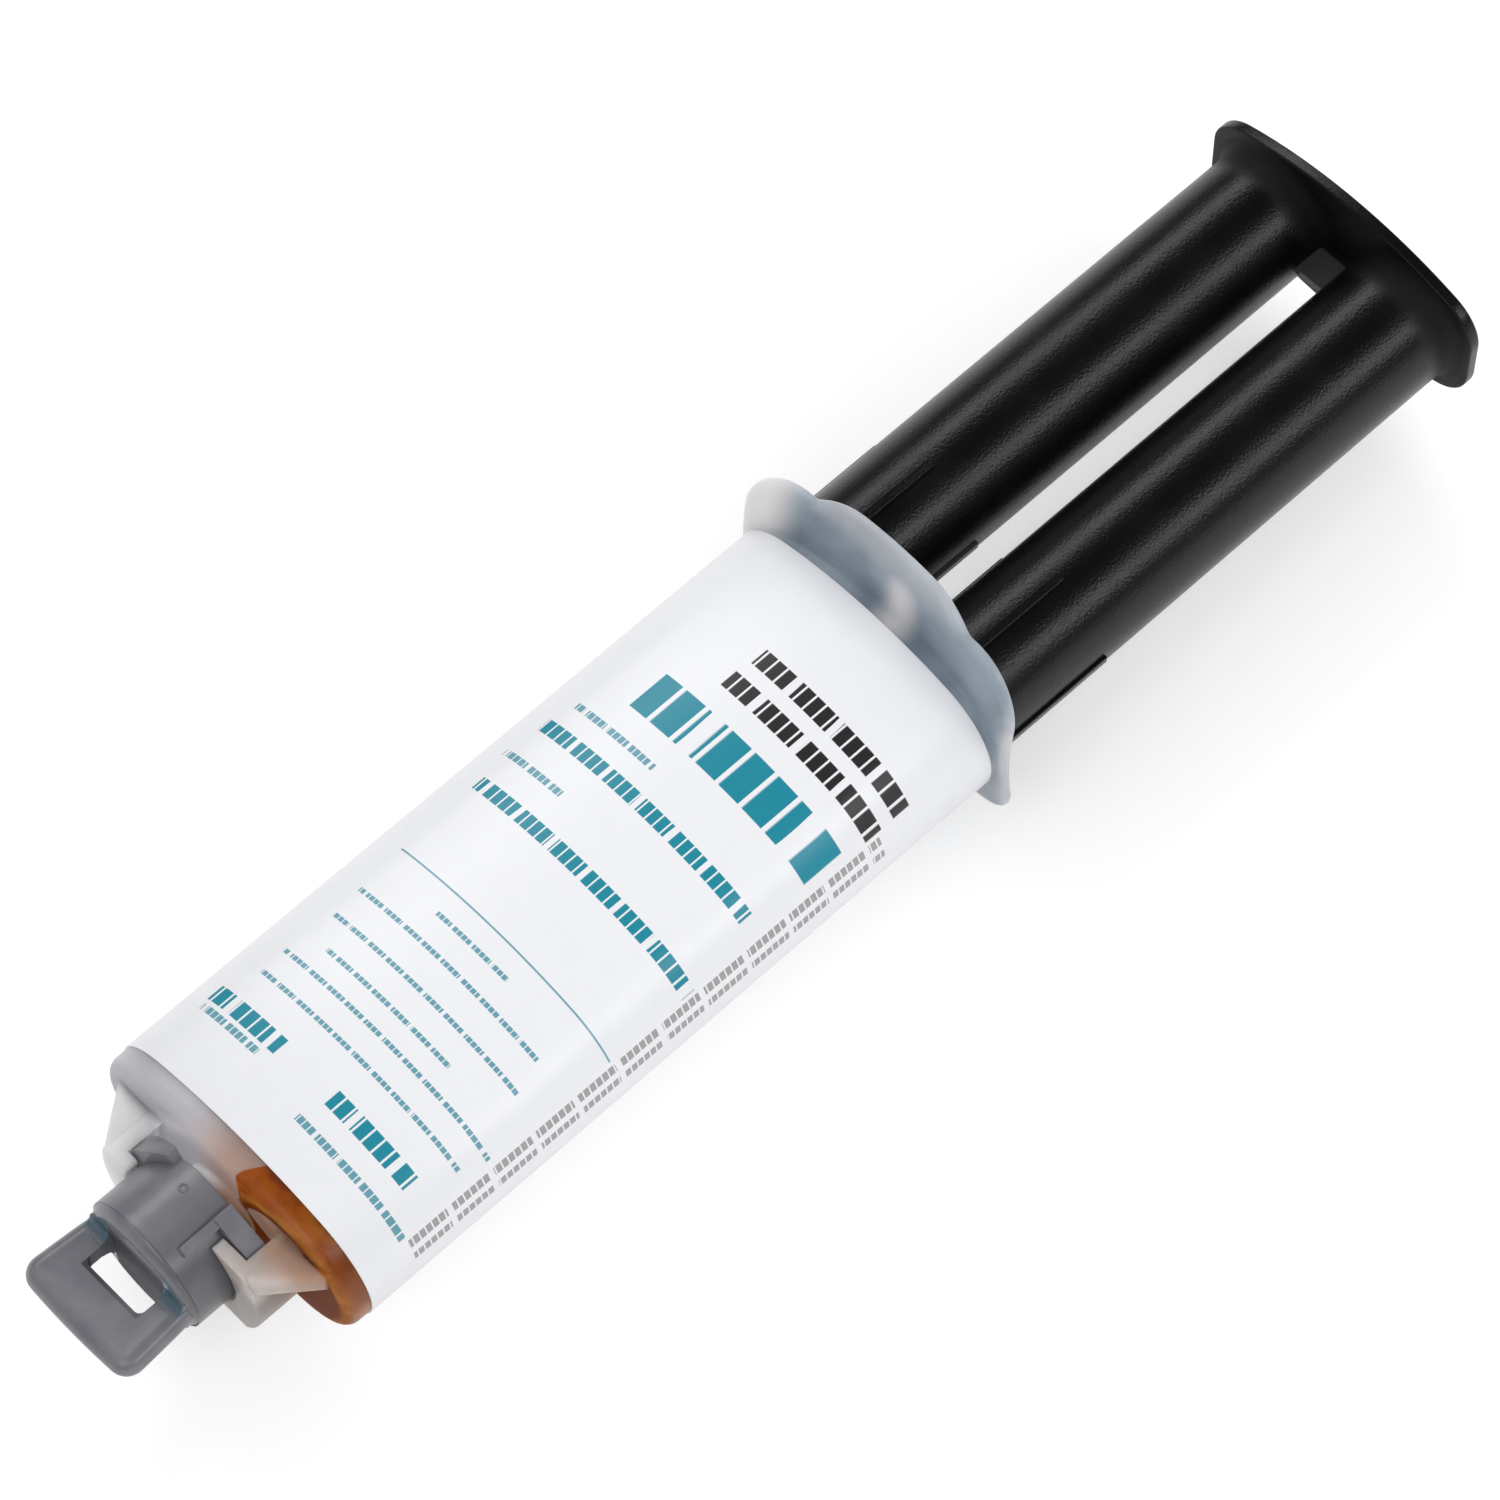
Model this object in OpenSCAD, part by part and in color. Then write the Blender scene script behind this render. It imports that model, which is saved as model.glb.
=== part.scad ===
// Two-chamber epoxy syringe, lying flat: X is the dispensing direction, Y the width, Z up.
// The shapes are drawn with X = 0 on the nose face and the axis at Z = 0, and then placed.

/* [Chambers] */
// Distance between the axes of the two chambers
bore_pitch = 20.25; // [19.5:0.05:21.5]
// Bore of each chamber
bore_d = 17; // [15.5:0.1:17.4]
// Wall outside each chamber
wall_t = 1; // [0.8:0.05:1.3]
// Height of the barrel at its middle
barrel_h = 21.76; // [20.5:0.02:23]
// Length of the barrel from the flange's front to the nose face
barrel_l = 94.75; // [85:0.25:110]
// Thickness of the wall that closes the chambers
nose_wall_t = 1.8; // [1.2:0.1:3]
// Radius of the rounded shoulder round the nose face
shoulder_r = 1.5; // [0.8:0.1:2]

/* [Finger flange] */
// Full width of the flange over its ears
flange_w = 41.58; // [40.5:0.02:46]
// Height of the ears
ear_h = 30.68; // [26:0.02:33]
// Corner radius of the ears
ear_corner_r = 8.31; // [4:0.01:10]
// Full height of the flange over its lobes
flange_h = 37.5; // [35.5:0.1:42]
// Width of the lobes
lobe_w = 32.4; // [28:0.1:36]
// Corner radius of the lobes
lobe_corner_r = 11; // [8:0.1:12]
// Radius of the gentle bow across each lobe
lobe_bow_r = 60; // [45:1:120]
// Thickness of the flange
flange_t = 1.55; // [1.2:0.05:2.4]
// Radius to which the flange is dished
flange_dish_r = 55.6; // [45:0.1:90]

/* [Label] */
// Length of the label
label_l = 91.09; // [70:0.01:91.6]
// Thickness of the label
label_t = 0.18; // [0.1:0.01:0.3]
// Bare barrel between the nose face and the label
label_inset = 3; // [1.6:0.1:6]

/* [Outlets and jaws] */
// Diameter of the round outlet boss
boss_d = 9.6; // [8.8:0.1:11]
// Length of the outlet boss
boss_l = 7.2; // [5:0.1:8]
// Diameter of each outlet
outlet_d = 2.6; // [2:0.1:3]
// Distance between the two outlets
outlet_pitch = 5.6; // [4.4:0.1:5.8]
// Radius of the outside of the bayonet jaws
jaw_r = 12.6; // [12.3:0.1:13.5]
// Height of the jaws in front of the nose face
jaw_l = 6.5; // [6:0.1:8]
// Thickness of the lips that hold the cap
lip_t = 1.65; // [1.2:0.05:2]
// Radial gap between the lips and the cap
lip_gap = 0.35; // [0.2:0.05:0.5]
// Height of the gusset's root on the nose face from the middle
gusset_root_y = 16.9; // [15:0.1:17.2]
// Half thickness of the gussets
gusset_half_t = 4; // [2:0.1:5]
// Top and bottom of the jaw that holds the wide lug
wide_jaw_z = [-8, 5.8];
// Top and bottom of the jaw that holds the narrow lug
narrow_jaw_z = [-6, 3.9];

/* [Plunger] */
// Diameter of the two plunger rods
rod_d = 16; // [14:0.1:16.2]
// Wall of the hollow rods
rod_wall_t = 1.5; // [1.2:0.1:2.5]
// Gap between the thumb plate and the flange at rest
stroke_gap = 73.1; // [65:0.1:90]
// Thickness of the thumb plate
plate_t = 1.45; // [1.2:0.05:2.5]
// Width of the thumb plate
plate_w = 40.54; // [40:0.02:45]
// Height of the thumb plate at its middle
plate_h = 21.74; // [20:0.02:25]
// Radius of the bow along the thumb plate's long edges
plate_bow_r = 52.2; // [48:0.1:90]
// Corner radius of the thumb plate
plate_corner_r = 5.93; // [4:0.01:7]
// Depth of the web between the rods, measured from the thumb plate
web_l = 4.8; // [3:0.1:12]
// Thickness of the web between the rods
web_t = 1.5; // [1:0.1:3]
// Reach of the flared foot of each rod
foot_r = 1.4; // [0.8:0.1:1.5]
// Length of the guide ribs
rib_l = 51; // [30:0.5:55]
// Width of the guide ribs
rib_w = 1.2; // [0.8:0.1:2]
// Radial running clearance of the guide ribs in the bore
rib_gap = 0.1; // [0.05:0.01:0.1]
// Angle of the first rib round its rod
rib_phase = 86; // [0:1:90]

/* [Pistons and contents] */
// Length of each chamber that is filled
fill_l = 54.6; // [20:0.1:60]
// Length of the piston heads
piston_l = 6; // [5:0.1:9]
// Radial running clearance of the piston heads
piston_gap = 0.08; // [0.04:0.01:0.1]
// Length of the piston's tail in the rod
tail_l = 8; // [4:0.1:12]
// Thickness of the sealing rings
seal_t = 1.6; // [1.2:0.1:2]
// Radial clearance of the sealing rings in the bore
seal_gap = 0.04; // [0.02:0.01:0.08]
// Gap left all round the contents
charge_gap = 0.1; // [0.05:0.01:0.2]

/* [Cap] */
// Diameter of the cap
cap_d = 16.8; // [16:0.1:17.2]
// Gap between the nose face and the cap's rear rim
cap_gap = 2.05; // [1.6:0.05:2.6]
// Length of the round part of the cap
cap_l = 10.25; // [9.5:0.05:12]
// Wall of the cap
cap_wall_t = 1.2; // [1:0.1:1.5]
// Radius of the wide lug
wide_lug_r = 11.5; // [11:0.1:11.7]
// Radius of the narrow lug
narrow_lug_r = 10.1; // [9.6:0.1:11]
// Length of the lugs along the axis
lug_l = 2.45; // [1.6:0.05:2.6]
// Depth below the axis at which the lugs are cut flat
lug_low = 6.1; // [4:0.1:6.5]
// Distance from the axis to the wide lug's flat top
lug_top = 9.5; // [9:0.1:9.8]
// Slope of the wide lug's flat top
lug_slope = 22; // [16:1:26]
// Start of the wide lug along its flat top
lug_start = 0.8; // [0.8:0.1:2]
// Angle between upright and the upper end of the narrow lug
narrow_lug_angle = 26; // [22:1:40]
// Length of the rib that props the wide lug, with the lug
prop_l = 7.25; // [5:0.05:8]
// Width of the rib that props the wide lug
prop_w = 1.2; // [0.8:0.1:1.5]
// Radial gap between the lugs and their pockets
pocket_gap = 0.25; // [0.15:0.05:0.4]

/* [Cap handle] */
// Length of the handle in front of the round part
handle_l = 9.55; // [9:0.05:16]
// Width of the handle at the neck
neck_w = 16.2; // [14:0.1:16.4]
// Width of the handle at its tip
tip_w = 17.4; // [16.4:0.1:20]
// Thickness of the handle
handle_t = 3; // [2.4:0.1:4]
// Corner radius of the handle's tip
tip_corner_r = 2.3; // [2:0.1:4]
// How far the middle of the tip stands in front of its corners
tip_bow = 0.35; // [0:0.05:1]
// Width of the finger slot
slot_w = 8.8; // [6:0.1:9.4]
// Length of the finger slot in front of the round part
slot_l = 3.5; // [2:0.1:4]
// How far the slot's sloping back is cut into the round part at its lower edge
recess_l = 1.4; // [0.6:0.1:1.6]
// Radius of the fillets that join the handle to the round part
handle_fillet_r = 1.2; // [0.8:0.1:1.6]

/* [Cap plug] */
// Diameter of the plug's plate
plug_d = 13.8; // [10:0.1:13.8]
// Thickness of the plug's plate
plug_t = 1.6; // [1:0.1:2]
// Length of the two pins that close the outlets
pin_l = 4.5; // [2:0.1:5]
// Radial clearance of the pins in the outlets
pin_gap = 0.05; // [0.02:0.01:0.1]
// Gap between the plug and its neighbours
plug_gap = 0.3; // [0.2:0.05:0.5]

/* [Hidden] */
$fn = 96;
overrun = 1;
sink = 0.3;
arc_steps = 18;
seam_angle = 45;
round_steps = 6;
chamfer_l = 0.8;
ring_w = 1;
ring_out = 0.06;
neck_step = 0.12;
gate_r = 0.45;
gate_h = 0.25;
gate_x = 4.46;
gate_angle = 94;
groove_play = 0.05;
slot_corner_r = 0.8;
axis_y = bore_pitch / 2;
bore_r = bore_d / 2;
rod_r = rod_d / 2;
cap_r = cap_d / 2;
outer_r = bore_r + wall_t;
half_h = barrel_h / 2;
flange_front_x = -barrel_l;
flange_rear_x = flange_front_x - flange_t;
plate_front_x = flange_rear_x - stroke_gap;
plate_rear_x = plate_front_x - plate_t;
chamber_front_x = -nose_wall_t;
piston_face_x = chamber_front_x - fill_l;
rod_front_x = piston_face_x - piston_l;
tail_r = rod_r - rod_wall_t - groove_play;
piston_r = bore_r - piston_gap;
seal_out_r = bore_r - seal_gap;
seal_mid_r = seal_out_r - seal_t / 2;
seal_x = piston_face_x - piston_l / 2;
lip_x = jaw_l - lip_t;
cap_front_x = cap_gap + cap_l;
tip_x = cap_front_x + handle_l;
boss_r = boss_d / 2;
plug_x = boss_l + plug_gap;
cavity_l = plug_x + plug_t + plug_gap - cap_gap;
bow_r = (half_h * half_h + axis_y * axis_y - outer_r * outer_r) / (2 * (half_h - outer_r));
mid_x = (tip_x + plate_rear_x) / 2;

// Points on an arc
function arc(c, r, from, to) =
    [for (i = [0:arc_steps]) let (a = from + (to - from) * i / arc_steps) c + r * [cos(a), sin(a)]];

// A closed outline with bowed long edges that run smoothly into round corners
function bowed(w, h, bow, corner) =
    let (cy = w - corner, low = h - bow, cz = low + sqrt(pow(bow - corner, 2) - cy * cy),
         t = atan2(cz - low, cy))
    concat(arc([cy, cz], corner, 0, t), arc([0, low], bow, t, 180 - t),
           arc([-cy, cz], corner, 180 - t, 180), arc([-cy, -cz], corner, 180, 180 + t),
           arc([0, -low], bow, 180 + t, 360 - t), arc([cy, -cz], corner, 360 - t, 360));

// The barrel's outline, grown or shrunk evenly by d
function barrel_outline(d) =
    let (t = atan2(bow_r - half_h, axis_y))
    concat(arc([axis_y, 0], outer_r + d, -t, t), arc([0, half_h - bow_r], bow_r + d, t, 180 - t),
           arc([-axis_y, 0], outer_r + d, 180 - t, 180 + t),
           arc([0, bow_r - half_h], bow_r + d, 180 + t, 360 - t));

// Lays an outline across X and gives it a length along X
module along_x(x, l) {
    translate([x, 0, 0])
        rotate([90, 0, 90])
            linear_extrude(height = l)
                children();
}

// A round bar along X
module bar(x, l, r, y = 0) {
    translate([x, y, 0])
        rotate([0, 90, 0])
            rotate(seam_angle)
                cylinder(h = l, r = r);
}

// Places a child at both chamber axes
module both_sides() {
    for (side = [-1, 1])
        translate([0, side * axis_y, 0])
            children();
}

// Sets the finished shape on the ground with the origin under its middle
module placed() {
    translate([-mid_x, 0, flange_h / 2])
        children();
}

module flange() {
    intersection() {
        along_x(flange_rear_x - flange_dish_r, flange_dish_r + flange_t) {
            square([flange_w, ear_h - 2 * ear_corner_r], center = true);
            square([flange_w - 2 * ear_corner_r, ear_h], center = true);
            for (side = [-1, 1], end = [-1, 1])
                translate([side * (flange_w / 2 - ear_corner_r), end * (ear_h / 2 - ear_corner_r)])
                    circle(r = ear_corner_r);
            polygon(bowed(lobe_w / 2, flange_h / 2, lobe_bow_r, lobe_corner_r));
        }
        translate([flange_front_x - flange_dish_r, 0, 0])
            rotate([90, 0, 0])
                difference() {
                    cylinder(h = 2 * flange_w, r = flange_dish_r, center = true, $fn = 4 * $fn);
                    cylinder(h = 3 * flange_w, r = flange_dish_r - flange_t, center = true,
                             $fn = 4 * $fn);
                }
    }
}

// The barrel's outer shape with its rounded shoulder
module barrel_body() {
    along_x(flange_rear_x + flange_t / 2, barrel_l + flange_t / 2 - shoulder_r)
        polygon(barrel_outline(0));
    hull()
        for (i = [0:round_steps])
            let (a = 90 * i / round_steps)
                along_x(-shoulder_r - sink, sink + shoulder_r * sin(a))
                    polygon(barrel_outline(shoulder_r * (cos(a) - 1)));
}

// One hook-shaped jaw on the +Y side: wall, lip and gusset, hollow where the lug turns
module jaw(z_range, pocket_r) {
    difference() {
        union() {
            intersection() {
                bar(-sink, jaw_l + sink, jaw_r);
                translate([-overrun, 0, z_range[0]])
                    cube([jaw_l + 2 * overrun, 2 * jaw_r, z_range[1] - z_range[0]]);
            }
            translate([0, 0, -gusset_half_t])
                linear_extrude(height = 2 * gusset_half_t)
                    polygon([[-shoulder_r, cap_r], [-shoulder_r, gusset_root_y],
                             [0, gusset_root_y], [lip_x + lip_t / 2, jaw_r - sink],
                             [lip_x + lip_t / 2, cap_r]]);
        }
        bar(0, lip_x, pocket_r);
        bar(-overrun, jaw_l + 2 * overrun, cap_r + lip_gap);
    }
}

module barrel() {
    color([0.82, 0.82, 0.83, 0.6])
    placed()
    difference() {
        union() {
            barrel_body();
            flange();
            bar(-sink, boss_l + sink, boss_r);
            jaw(wide_jaw_z, wide_lug_r + pocket_gap);
            mirror([0, 1, 0])
                jaw(narrow_jaw_z, narrow_lug_r + pocket_gap);
        }
        both_sides()
            bar(flange_rear_x - overrun, barrel_l + flange_t + overrun - nose_wall_t, bore_r);
        for (side = [-1, 1])
            bar(chamber_front_x - sink, nose_wall_t + boss_l + overrun, outlet_d / 2,
                side * outlet_pitch / 2);
    }
}

module label() {
    color([0.96, 0.96, 0.97])
    placed()
    along_x(-label_inset - label_l, label_l)
        difference() {
            polygon(barrel_outline(label_t));
            polygon(barrel_outline(0));
        }
}

// A hollow rod with its ribs and its flared foot
module rod() {
    difference() {
        union() {
            bar(plate_front_x - sink, rod_front_x - plate_front_x + sink, rod_r);
            translate([plate_front_x - sink, 0, 0])
                rotate([0, 90, 0])
                    rotate(seam_angle)
                        cylinder(h = foot_r + sink, r1 = rod_r + foot_r + sink, r2 = rod_r);
            for (i = [0:3])
                rotate([rib_phase + 90 * i, 0, 0])
                    intersection() {
                        translate([rod_front_x - rib_l, rod_r - rod_wall_t / 2, -rib_w / 2])
                            cube([rib_l, rod_wall_t, rib_w]);
                        bar(rod_front_x - rib_l, rib_l, bore_r - rib_gap);
                    }
        }
        bar(plate_front_x + rod_wall_t, rod_front_x - plate_front_x, rod_r - rod_wall_t);
    }
}

module plunger() {
    color([0.09, 0.09, 0.09])
    placed() {
        along_x(plate_rear_x, plate_t)
            polygon(bowed(plate_w / 2, plate_h / 2, plate_bow_r, plate_corner_r));
        both_sides()
            rod();
        translate([plate_front_x - sink, rod_wall_t / 2 - axis_y + rod_r - rod_wall_t, -web_t / 2])
            cube([web_l + sink, 2 * (axis_y - rod_r) + rod_wall_t, web_t]);
    }
}

// A piston: head with a ring groove, and a tail that is pressed into the rod
module piston() {
    difference() {
        union() {
            bar(rod_front_x, piston_l, piston_r);
            bar(rod_front_x - tail_l, tail_l + sink, tail_r);
        }
        translate([seal_x, 0, 0])
            rotate([0, 90, 0])
                difference() {
                    cylinder(h = seal_t + 2 * groove_play, r = bore_r + overrun, center = true);
                    cylinder(h = seal_t + 2 * overrun, r = seal_out_r - seal_t - groove_play,
                             center = true);
                }
    }
}

module sealing_ring() {
    translate([seal_x, 0, 0])
        rotate([0, 90, 0])
            rotate_extrude()
                translate([seal_mid_r, 0])
                    circle(r = seal_t / 2, $fn = $fn / 2);
}

module charge() {
    bar(piston_face_x + charge_gap, fill_l - 2 * charge_gap, bore_r - charge_gap);
}

module on_axis(side) {
    placed()
        translate([0, side * axis_y, 0])
            children();
}

module resin_piston() { color([0.88, 0.88, 0.86]) on_axis(-1) piston(); }
module hardener_piston() { color([0.88, 0.88, 0.86]) on_axis(1) piston(); }
module resin_seal() { color([0.12, 0.12, 0.12]) on_axis(-1) sealing_ring(); }
module hardener_seal() { color([0.12, 0.12, 0.12]) on_axis(1) sealing_ring(); }
module resin_charge() { color([0.85, 0.83, 0.86, 0.8]) on_axis(-1) charge(); }
module hardener_charge() { color([0.72, 0.38, 0.03, 0.9]) on_axis(1) charge(); }

// A lug on the +Y side, cut flat below and between the axis and two points above
module lug(r, inner, outer) {
    intersection() {
        bar(cap_gap, lug_l, r);
        along_x(cap_gap - overrun, lug_l + 2 * overrun)
            polygon([[0, 0], inner, outer, [2 * r, -lug_low], [0, -lug_low]]);
    }
}

// The wide lug with its sloping flat top, and the rib that props it
module wide_lug() {
    flat = [cos(lug_slope), -sin(lug_slope)];
    up = [sin(lug_slope), cos(lug_slope)];
    lug(wide_lug_r, lug_start * flat + lug_top * up, 2 * wide_lug_r * flat + lug_top * up);
    rotate([-lug_slope, 0, 0])
        translate([0, lug_start + prop_w, 0])
            rotate([90, 0, 0])
                linear_extrude(height = prop_w)
                    polygon([[cap_gap, lug_top - sink], [cap_gap + prop_l, cap_r - sink],
                             [cap_gap + prop_l, cap_r - cap_wall_t / 2],
                             [cap_gap, cap_r - cap_wall_t / 2]]);
}

module narrow_lug() {
    mirror([0, 1, 0])
        lug(narrow_lug_r, 2 * narrow_lug_r * [sin(narrow_lug_angle), cos(narrow_lug_angle)],
            2 * narrow_lug_r * [1, 1]);
}

// The round part of the cap, with its front ring and its chamfered front
module cap_round() {
    ring_end = cap_front_x - chamfer_l;
    rotate([0, 90, 0])
        rotate(seam_angle)
            rotate_extrude()
                polygon([[0, cap_gap], [cap_r, cap_gap], [cap_r, ring_end - ring_w],
                         [cap_r + ring_out, ring_end - ring_w], [cap_r + ring_out, ring_end],
                         [neck_w / 2 + neck_step, cap_front_x], [0, cap_front_x]]);
}

// The flat handle with its fully rounded edge
module handle_plate() {
    edge_r = handle_t / 2;
    hull() {
        for (side = [-1, 1]) {
            translate([tip_x - tip_bow - tip_corner_r, side * (tip_w / 2 - tip_corner_r), 0])
                rotate_extrude($fn = 32)
                    intersection() {
                        translate([tip_corner_r - edge_r, 0])
                            circle(r = edge_r, $fn = 32);
                        translate([0, -edge_r])
                            square([tip_corner_r, 2 * edge_r]);
                    }
            translate([cap_front_x, side * (neck_w / 2 - edge_r), 0])
                rotate([0, 90, 0])
                    cylinder(h = edge_r, r = edge_r, $fn = 32);
        }
        translate([tip_x - edge_r, 0, 0])
            rotate([90, 0, 0])
                cylinder(h = tip_w / 3, r = edge_r, center = true, $fn = 32);
    }
    bar(cap_front_x - sink, sink + edge_r / 2, neck_w / 2 - edge_r);
}

// Concave fillets where the two arms of the handle meet the round part
module handle_fillets() {
    arm_w = (neck_w - slot_w) / 2 - handle_t / 2;
    for (side = [-1, 1], face = [-1, 1])
        scale([1, side, face])
            translate([cap_front_x + handle_t / 4, slot_w / 2, handle_t / 2])
                difference() {
                    translate([-sink, 0, -sink])
                        cube([handle_fillet_r + sink, arm_w, handle_fillet_r + sink]);
                    translate([handle_fillet_r, -overrun, handle_fillet_r])
                        rotate([-90, 0, 0])
                            cylinder(h = arm_w + 2 * overrun, r = handle_fillet_r);
                }
}

// The slot behind the handle's tip, whose back slopes into the round part
module finger_slot() {
    translate([0, slot_w / 2, 0])
        rotate([90, 0, 0])
            linear_extrude(height = slot_w)
                polygon([[cap_front_x, cap_r], [cap_front_x - recess_l, -cap_r - overrun],
                         [cap_front_x + slot_l / 2, -cap_r - overrun],
                         [cap_front_x + slot_l / 2, cap_r]]);
    translate([cap_front_x, 0, 0]) {
        translate([0, slot_corner_r - slot_w / 2, -neck_w])
            cube([slot_l, slot_w - 2 * slot_corner_r, 2 * neck_w]);
        translate([0, -slot_w / 2, -neck_w])
            cube([slot_l - slot_corner_r, slot_w, 2 * neck_w]);
        for (side = [-1, 1])
            translate([slot_l - slot_corner_r, side * (slot_w / 2 - slot_corner_r), 0])
                cylinder(h = 2 * neck_w, r = slot_corner_r, center = true);
    }
}

module cap() {
    color([0.5, 0.5, 0.53])
    placed()
    difference() {
        union() {
            cap_round();
            wide_lug();
            narrow_lug();
            handle_plate();
            handle_fillets();
            rotate([gate_angle, 0, 0])
                translate([gate_x, cap_r - gate_h, 0])
                    rotate([-90, 0, 0])
                        cylinder(h = 2 * gate_h, r = gate_r);
        }
        bar(cap_gap - overrun, cavity_l + overrun, cap_r - cap_wall_t);
        finger_slot();
    }
}

module cap_plug() {
    color([0.8, 0.8, 0.78])
    placed() {
        bar(plug_x, plug_t, plug_d / 2);
        for (side = [-1, 1])
            bar(boss_l - pin_l, pin_l + plug_gap + sink, outlet_d / 2 - pin_gap,
                side * outlet_pitch / 2);
    }
}

barrel();
label();
plunger();
resin_piston();
hardener_piston();
resin_seal();
hardener_seal();
cap();
cap_plug();
resin_charge();
hardener_charge();
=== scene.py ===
"""Two-chamber epoxy syringe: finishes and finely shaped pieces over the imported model.

Pieces are drawn in millimetres with X = 0 on the nose face and the axis at Y = Z = 0,
and then placed in the model's frame by place().
"""
import math

import bmesh
import bpy
from mathutils import Euler, Matrix, Vector


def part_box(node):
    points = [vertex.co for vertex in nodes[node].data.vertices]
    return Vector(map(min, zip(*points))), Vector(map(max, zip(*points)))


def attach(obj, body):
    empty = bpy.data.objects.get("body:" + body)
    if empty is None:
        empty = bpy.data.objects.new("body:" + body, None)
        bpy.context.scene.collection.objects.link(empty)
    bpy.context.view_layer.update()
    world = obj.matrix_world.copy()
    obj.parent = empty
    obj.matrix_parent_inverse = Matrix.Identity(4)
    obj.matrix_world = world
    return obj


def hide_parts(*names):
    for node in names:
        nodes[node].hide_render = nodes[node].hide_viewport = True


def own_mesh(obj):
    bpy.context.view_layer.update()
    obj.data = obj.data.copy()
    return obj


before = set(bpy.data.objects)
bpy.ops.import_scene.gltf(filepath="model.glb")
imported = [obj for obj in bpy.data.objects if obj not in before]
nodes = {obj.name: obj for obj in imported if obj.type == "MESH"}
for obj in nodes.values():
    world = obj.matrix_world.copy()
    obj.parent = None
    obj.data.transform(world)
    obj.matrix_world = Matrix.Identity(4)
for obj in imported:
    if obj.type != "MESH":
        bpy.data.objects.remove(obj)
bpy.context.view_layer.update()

# Barrel, label and contents: real sizes in millimetres
MM = 0.001
AXIS_Y = 10.125
BORE_R = 8.5
OUTER_R = 9.5
HALF_H = 10.88
BARREL_L = 94.75
SHOULDER_R = 1.5
BARREL_FOOT = 0.7
NOSE_WALL = 1.8
BOSS_R, BOSS_L, BOSS_EDGE = 4.8, 7.2, 0.3
LABEL_T = 0.18
LABEL_INSET = 3.0
LABEL_L = 91.09

# Flange, with half widths and half heights
FLANGE_T = 1.55
FLANGE_DISH = 55.6
FLANGE_RIM = 0.7
EAR_W, EAR_H, EAR_R = 20.79, 15.34, 8.31
LOBE_W, LOBE_H, LOBE_R, LOBE_BOW = 16.2, 18.75, 11.0, 60.0

# Plunger, with half widths and half heights
STROKE_GAP = 73.1
ROD_R = 8.0
ROD_FOOT = 1.6
ROD_FRONT, ROD_EDGE = -62.4, 0.4
RIB_L, RIB_W, RIB_ROOT, RIB_TOP, RIB_PHASE = 51.0, 0.6, 7.0, 8.38, -4
WEB_L, WEB_W, WEB_T = 4.8, 3.2, 0.75
PLATE_X = -BARREL_L - FLANGE_T - STROKE_GAP
PLATE_T = 1.45
PLATE_RIM = 0.25
PLATE_W, PLATE_H, PLATE_BOW, PLATE_R = 20.27, 10.87, 52.2, 5.93

# Cap with its lugs
CAP_R = 8.4
CAP_WALL = 1.2
CAP_GAP = 2.05
CAP_L = 10.25
CAP_FRONT = CAP_GAP + CAP_L
GROOVE_X = CAP_FRONT - 1.3
LEAN, LEAN_TOP = 0.035, 7.4
LUG_T, LUG_LOW, LUG_ROOT, LUG_EDGE = 2.5, 6.1, 5.0, 0.14
WIDE_LUG_R, WIDE_LUG_END, WIDE_LUG_SLOPE = 11.5, 33.7, 22
NARROW_LUG_R, NARROW_LUG_END = 10.1, 116
GATE_X, GATE_Y, GATE_R, GATE_WIRE = 4.46, -0.6, 0.45, 0.12

# Handle of the cap
HANDLE_L = 9.55
HANDLE_X = 17.0
HANDLE_ROOT = 2.7
HANDLE_FACE, HANDLE_HALF_T = 1.45, 1.5
NECK_W, TIP_W, TIP_R, TIP_BOW = 8.1, 8.82, 2.3, 0.35
FILLET_R = 1.2
SLOT_W, SLOT_L, SLOT_R = 8.8, 3.5, 0.8

# Jaws that hold the lugs, each from its lower to its upper end
JAW_R = 12.6
JAW_L = 6.5
WIDE_JAW = (-8.0, 6.8)
NARROW_JAW = (-6.0, 3.9)
LIP_T = 1.65
LIP_GAP = 0.35
POCKET_GAP = 0.25
GUSSET_T, GUSSET_STEP = 3.15, 0.25
GUSSET_BASE, GUSSET_TIP, GUSSET_ROOT = 9.0, 12.05, 16.9

# How deep a piece sinks into the one that it is joined to
SINK = 0.4
# Edges that turn by more than this many degrees are sharp
SHARP = 35
# Brightness of the surroundings and of the floor, and how much of it the dim ceiling has
WORLD_LEVEL, FLOOR_GLOW, CEILING = 0.55, 0.4, 0.08

SIDES = {"resin": -1, "hardener": 1}

label_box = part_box("label")
nose_x = label_box[1].x + LABEL_INSET * MM
axis_z = (label_box[0].z + label_box[1].z) / 2
placement = Matrix.Translation((nose_x, 0, axis_z)) @ Matrix.Scale(MM, 4)

# Outlines, as the signed distance from a point to the edge


def round_box(y, z, half_w, half_h, corner):
    """Signed distance to a rectangle with round corners."""
    qy, qz = abs(y) - half_w + corner, abs(z) - half_h + corner
    return math.hypot(max(qy, 0), max(qz, 0)) + min(max(qy, qz), 0) - corner


def barrel_distance(y, z):
    """Signed distance to the barrel's oval of two round sides and two bowed faces."""
    bow = (HALF_H**2 + AXIS_Y**2 - OUTER_R**2) / (2 * (HALF_H - OUTER_R))
    y, z = abs(y), abs(z)
    if math.atan2(z + bow - HALF_H, y) > math.atan2(bow - HALF_H, AXIS_Y):
        return math.hypot(y, z + bow - HALF_H) - bow
    return math.hypot(y - AXIS_Y, z) - OUTER_R


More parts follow.
